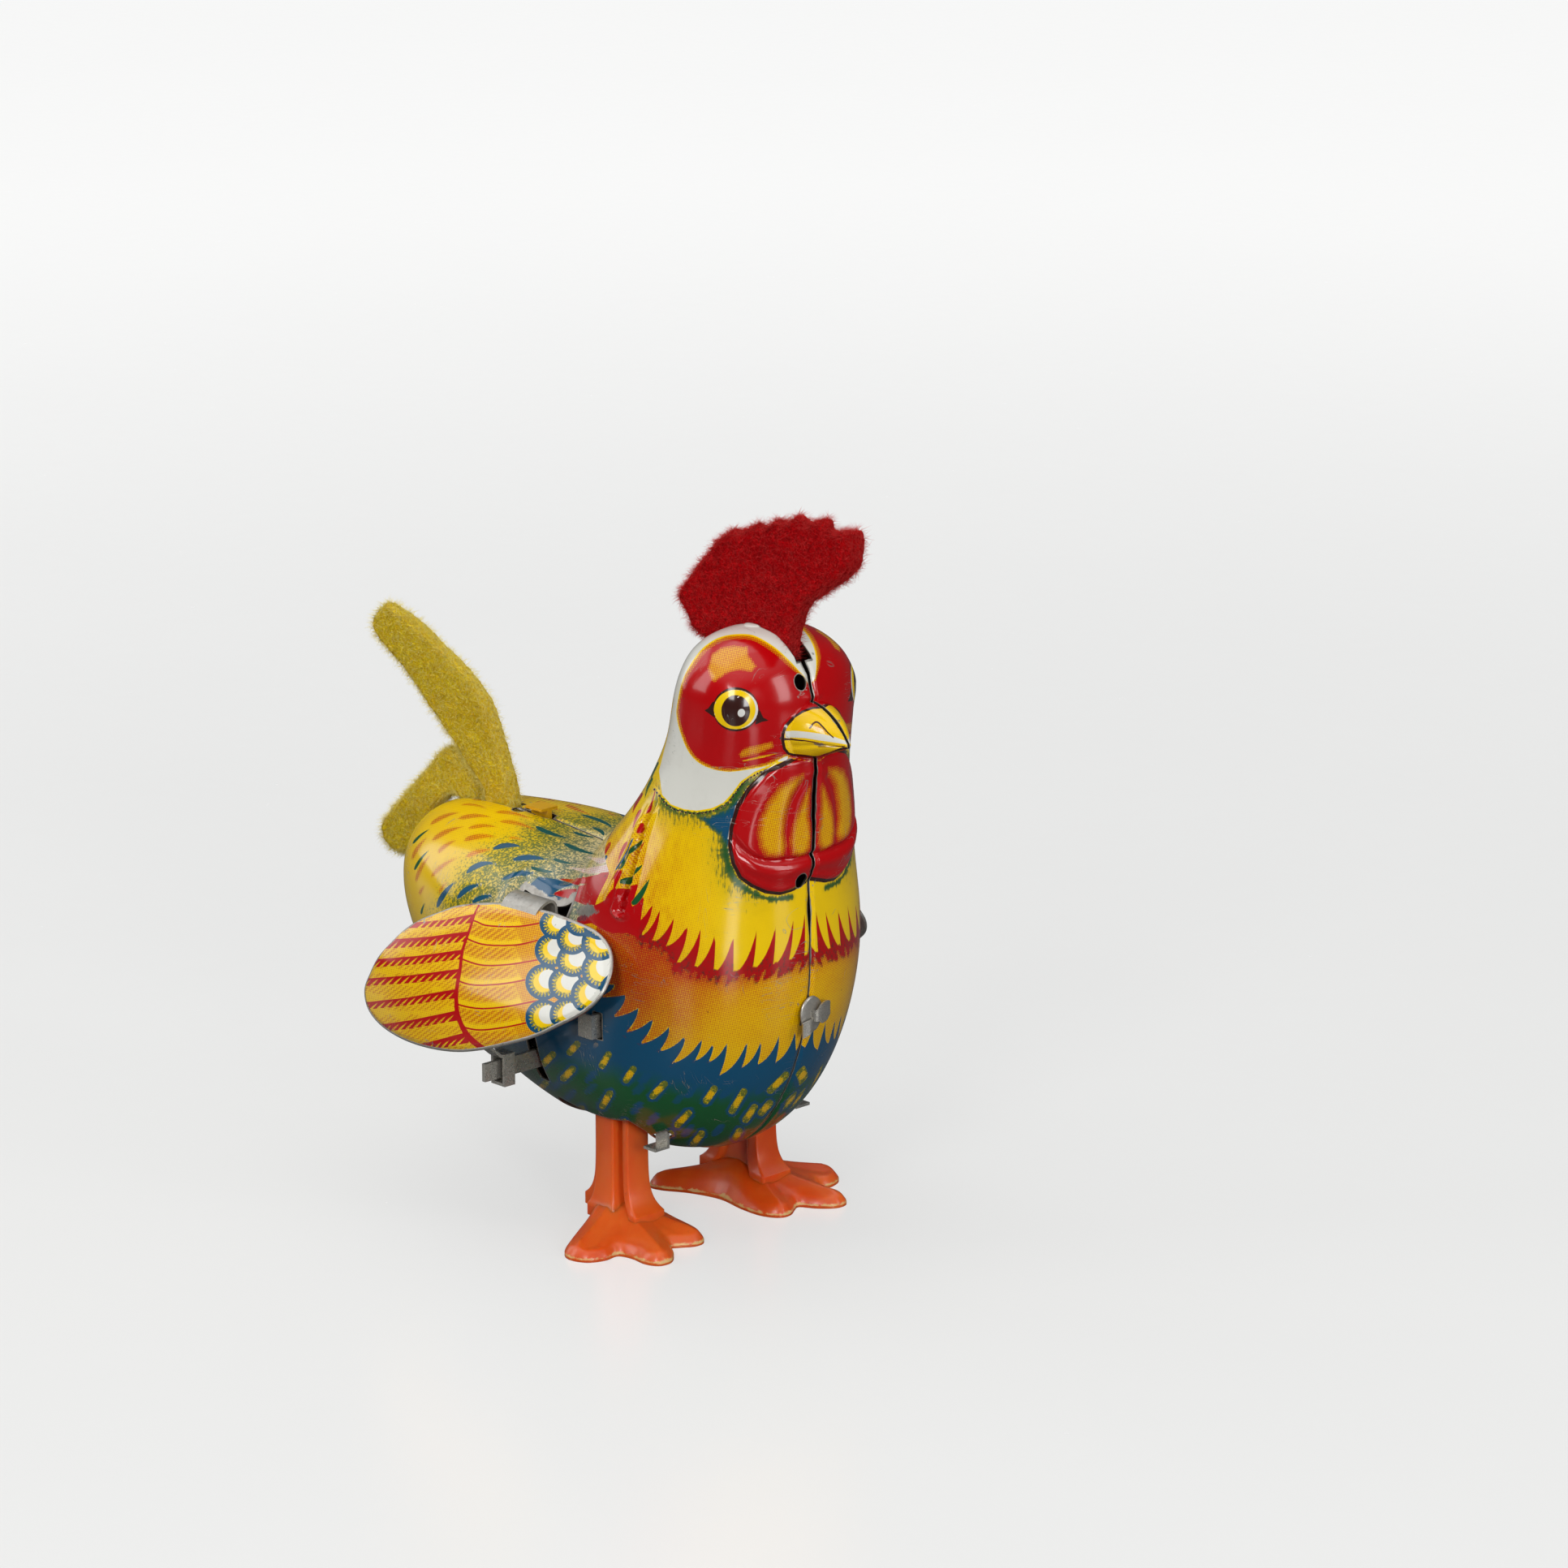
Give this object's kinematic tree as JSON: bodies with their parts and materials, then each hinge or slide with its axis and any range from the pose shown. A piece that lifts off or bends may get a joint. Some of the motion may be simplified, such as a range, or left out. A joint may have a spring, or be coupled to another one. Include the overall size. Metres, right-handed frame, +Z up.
{
  "type": "wind-up tin rooster",
  "caption": "Spring-driven walking rooster of printed tinplate with flapping wings, felt comb and tail, and moulded plastic feet.",
  "frame": {"origin": "on the standing plane, in the seam plane, under the middle of the whole length", "axes": "+X forward towards the beak, +Y to the bird's left, +Z up"},
  "size_m": [0.1245, 0.0752, 0.1297],
  "materials": {
    "bare_tin": "bright bare tinplate with worn edges",
    "brass_gear": "cut brass",
    "litho_tin": "glossy printed tinplate",
    "movement_steel": "stamped steel",
    "orange_plastic": "translucent moulded plastic",
    "red_felt": "brushed wool felt",
    "spring_steel": "blued spring steel",
    "wing_tin": "glossy printed tinplate, bare inside",
    "yellow_felt": "brushed wool felt"
  },
  "bodies": {
    "frame": {"left_body_shell": "litho_tin", "right_body_shell": "litho_tin", "breast_clip": "bare_tin", "back_tab": "litho_tin", "comb_felt": "red_felt", "tail_felt": "yellow_felt", "left_movement_plate": "movement_steel", "right_movement_plate": "movement_steel", "movement_pillars": "movement_steel", "hip_rod": "movement_steel", "hip_collars": "movement_steel", "left_lever_pin": "movement_steel", "right_lever_pin": "movement_steel", "mainspring": "spring_steel"},
    "winding_body": {"winding_arbor": "movement_steel", "ratchet_wheel": "movement_steel", "winding_key": "bare_tin"},
    "great_wheel_body": {"great_wheel": "brass_gear", "click": "movement_steel", "click_rivet": "movement_steel", "click_spring": "spring_steel"},
    "second_body": {"second_arbor": "movement_steel", "second_pinion": "brass_gear", "second_wheel": "brass_gear"},
    "crank_body": {"crank_arbor": "movement_steel", "crank_pinion": "brass_gear", "crank_wheel": "brass_gear", "left_crank": "movement_steel", "right_crank": "movement_steel"},
    "escape_body": {"escape_arbor": "movement_steel", "escape_pinion": "brass_gear", "star_wheel": "movement_steel"},
    "pallet_body": {"pallet_arbor": "movement_steel", "pallet": "movement_steel", "pallet_weight": "movement_steel"},
    "right_leg_body": {"right_leg_arm": "movement_steel", "right_leg": "orange_plastic", "right_leg_rivets": "movement_steel"},
    "left_leg_body": {"left_leg_arm": "movement_steel", "left_leg": "orange_plastic", "left_leg_rivets": "movement_steel"},
    "right_wing_body": {"right_wing": "wing_tin", "right_wing_loop": "bare_tin"},
    "left_wing_body": {"left_wing": "wing_tin", "left_wing_loop": "bare_tin"},
    "right_lever_body": {"right_wing_lever": "bare_tin"},
    "left_lever_body": {"left_wing_lever": "bare_tin"}
  },
  "joints": [
    {"name": "crank_turn", "type": "hinge", "parent": "frame", "child": "crank_body", "pos_m": [0.0082, 0, 0.046], "axis": [0, 1, 0], "continuous": true},
    {"name": "key_turn", "type": "hinge", "parent": "frame", "child": "winding_body", "pos_m": [-0.0068, 0, 0.033], "axis": [0, 1, 0], "continuous": true},
    {"name": "great_wheel_turn", "type": "hinge", "parent": "frame", "child": "great_wheel_body", "pos_m": [-0.0068, 0, 0.033], "axis": [0, 1, 0], "continuous": true},
    {"name": "second_turn", "type": "hinge", "parent": "frame", "child": "second_body", "pos_m": [-0.00378, 0, 0.04667], "axis": [0, 1, 0], "continuous": true},
    {"name": "escape_turn", "type": "hinge", "parent": "frame", "child": "escape_body", "pos_m": [0.01625, 0, 0.05105], "axis": [0, 1, 0], "continuous": true},
    {"name": "pallet_rock", "type": "hinge", "parent": "frame", "child": "pallet_body", "pos_m": [0.0252, 0, 0.0494], "axis": [0, 1, 0], "range_deg": [-4, 4]},
    {"name": "right_leg_swing", "type": "hinge", "parent": "frame", "child": "right_leg_body", "pos_m": [0.0182, -0.0124, 0.038], "axis": [0, 1, 0], "range_deg": [-8, 8]},
    {"name": "left_leg_swing", "type": "hinge", "parent": "frame", "child": "left_leg_body", "pos_m": [0.0182, 0.0124, 0.038], "axis": [0, 1, 0], "range_deg": [-8, 8]},
    {"name": "right_wing_flap", "type": "hinge", "parent": "frame", "child": "right_wing_body", "pos_m": [0.0062, -0.022, 0.0576], "axis": [-1, 0, 0], "range_deg": [-5, 7]},
    {"name": "left_wing_flap", "type": "hinge", "parent": "frame", "child": "left_wing_body", "pos_m": [0.0062, 0.022, 0.0576], "axis": [1, 0, 0], "range_deg": [-5, 7]},
    {"name": "right_lever_rock", "type": "hinge", "parent": "frame", "child": "right_lever_body", "pos_m": [0.0077, -0.0114, 0.031], "axis": [-1, 0, 0], "range_deg": [-2.5, 3.5]},
    {"name": "left_lever_rock", "type": "hinge", "parent": "frame", "child": "left_lever_body", "pos_m": [0.0077, 0.0114, 0.031], "axis": [1, 0, 0], "range_deg": [-2.5, 3.5]}
  ],
  "couplings": [
    {"joint": "key_turn", "follows": "crank_turn", "ratio": 0.072464},
    {"joint": "great_wheel_turn", "follows": "crank_turn", "ratio": 0.072464},
    {"joint": "second_turn", "follows": "crank_turn", "ratio": -0.33333},
    {"joint": "escape_turn", "follows": "crank_turn", "ratio": -3.75},
    {"joint": "left_leg_swing", "follows": "right_leg_swing", "ratio": -1},
    {"joint": "left_wing_flap", "follows": "right_wing_flap", "ratio": 1},
    {"joint": "right_lever_rock", "follows": "right_wing_flap", "ratio": 0.5},
    {"joint": "left_lever_rock", "follows": "right_wing_flap", "ratio": 0.5}
  ]
}
